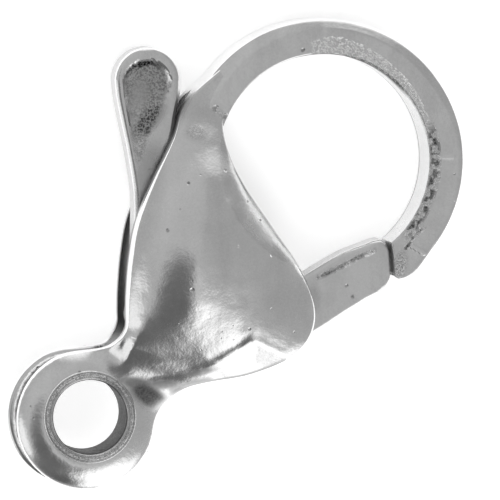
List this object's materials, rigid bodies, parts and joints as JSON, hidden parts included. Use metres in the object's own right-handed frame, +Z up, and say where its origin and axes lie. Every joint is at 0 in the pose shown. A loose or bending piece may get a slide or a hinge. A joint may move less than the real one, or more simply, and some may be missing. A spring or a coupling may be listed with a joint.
{
  "type": "lobster clasp",
  "caption": "Lobster claw clasp with a round hook, a domed body of two pressed shells, a spring-loaded thumb lever with a gate, and a riveted eye for a jump ring.",
  "frame": {"origin": "on the floor under the middle of the box, with the clasp lying on its back shell", "axes": "+Y from the eye towards the hook, +Z up, +X to the gate side of the hook, as seen from above"},
  "size_m": [0.0094, 0.015, 0.0041],
  "materials": {
    "polished_steel": "tumbled polish with small pits and worn edges",
    "lever_steel": "tumbled polish, grainy in the thumb dish",
    "pin_steel": "plain turned wire",
    "eyelet_steel": "polished bore, lips roughened by the riveting tool"
  },
  "bodies": {
    "clasp_body": {"body": "polished_steel", "pivot_pin": "pin_steel", "eyelet": "eyelet_steel"},
    "lever": {"lever": "lever_steel"}
  },
  "joints": [
    {"name": "lever_pivot", "type": "hinge", "parent": "clasp_body", "child": "lever", "pos_m": [0.0005, -0.00217, 0.00219], "axis": [-0.048, 0.1433, 0.9885], "range_deg": [0, 22], "stiffness_Nm_per_rad": 0.02, "springref_deg": -14.32}
  ]
}
